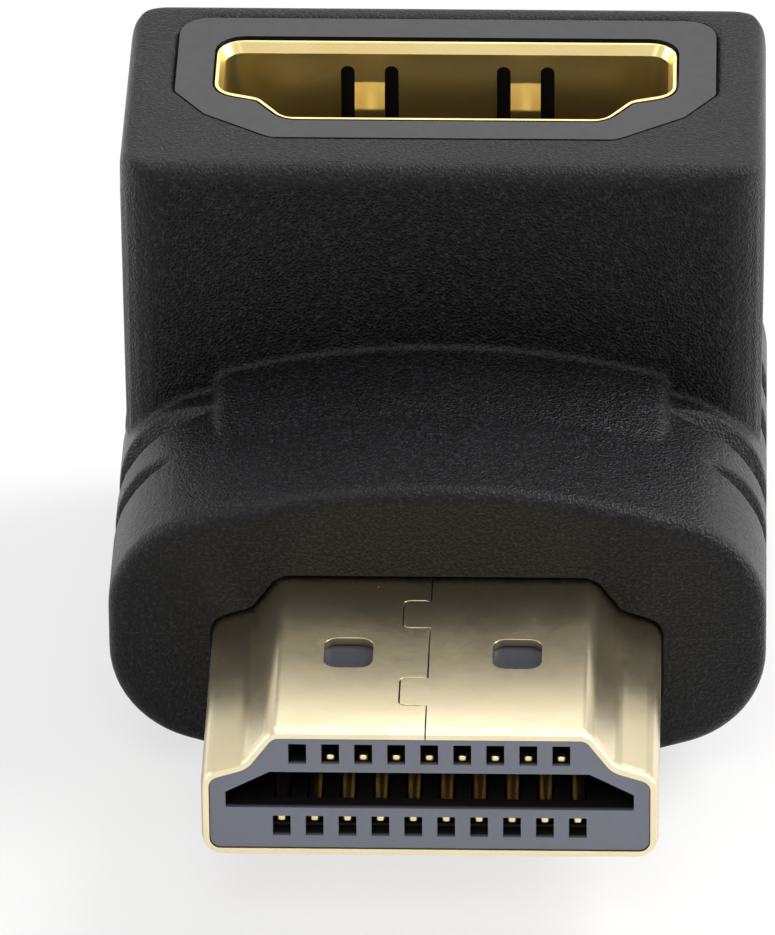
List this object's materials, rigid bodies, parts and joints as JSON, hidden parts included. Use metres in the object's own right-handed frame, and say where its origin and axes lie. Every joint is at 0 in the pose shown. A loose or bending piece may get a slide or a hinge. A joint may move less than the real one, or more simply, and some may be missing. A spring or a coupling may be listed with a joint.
{
  "type": "right angle video adapter",
  "caption": "Right angle video adapter: a gold plug points forwards out of a black ribbed body, and a matching port in a grey bezel opens upwards.",
  "frame": {"origin": "on the plug's centre line, in the plane of the body's front face", "axes": "-Y is the way the plug points and the way it is pushed in, +Z is the way the port opens, and X runs across both connectors"},
  "size_m": [0.0204, 0.0274, 0.0174],
  "materials": {
    "black_pvc": "fine spark-eroded grain",
    "grey_abs": "smooth moulded",
    "gold_flash_shell": "satin gold flash on folded steel",
    "gold_flash_port": "satin gold flash on folded steel",
    "slate_nylon": "smooth moulded",
    "black_nylon": "smooth moulded",
    "board_laminate": "solder resist over glass laminate",
    "gold_contact": "gold flash on phosphor bronze"
  },
  "bodies": {
    "root": {"overmould": "black_pvc", "inner_mould": "grey_abs", "plug_shell": "gold_flash_shell", "plug_insulator": "slate_nylon", "circuit_board": "board_laminate", "port_shell": "gold_flash_port", "port_insulator": "black_nylon", "plug_contact_01": "gold_contact", "plug_contact_03": "gold_contact", "plug_contact_04": "gold_contact", "plug_contact_05": "gold_contact", "plug_contact_06": "gold_contact", "plug_contact_07": "gold_contact", "plug_contact_08": "gold_contact", "plug_contact_09": "gold_contact", "plug_contact_10": "gold_contact", "plug_contact_11": "gold_contact", "plug_contact_12": "gold_contact", "plug_contact_13": "gold_contact", "plug_contact_14": "gold_contact", "plug_contact_15": "gold_contact", "plug_contact_16": "gold_contact", "plug_contact_17": "gold_contact", "plug_contact_18": "gold_contact", "plug_contact_19": "gold_contact", "port_contact_01": "gold_contact", "port_contact_02": "gold_contact", "port_contact_03": "gold_contact", "port_contact_04": "gold_contact", "port_contact_05": "gold_contact", "port_contact_06": "gold_contact", "port_contact_07": "gold_contact", "port_contact_08": "gold_contact", "port_contact_09": "gold_contact", "port_contact_10": "gold_contact", "port_contact_11": "gold_contact", "port_contact_12": "gold_contact", "port_contact_13": "gold_contact", "port_contact_14": "gold_contact", "port_contact_15": "gold_contact", "port_contact_16": "gold_contact", "port_contact_17": "gold_contact", "port_contact_18": "gold_contact", "port_contact_19": "gold_contact"}
  },
  "joints": []
}
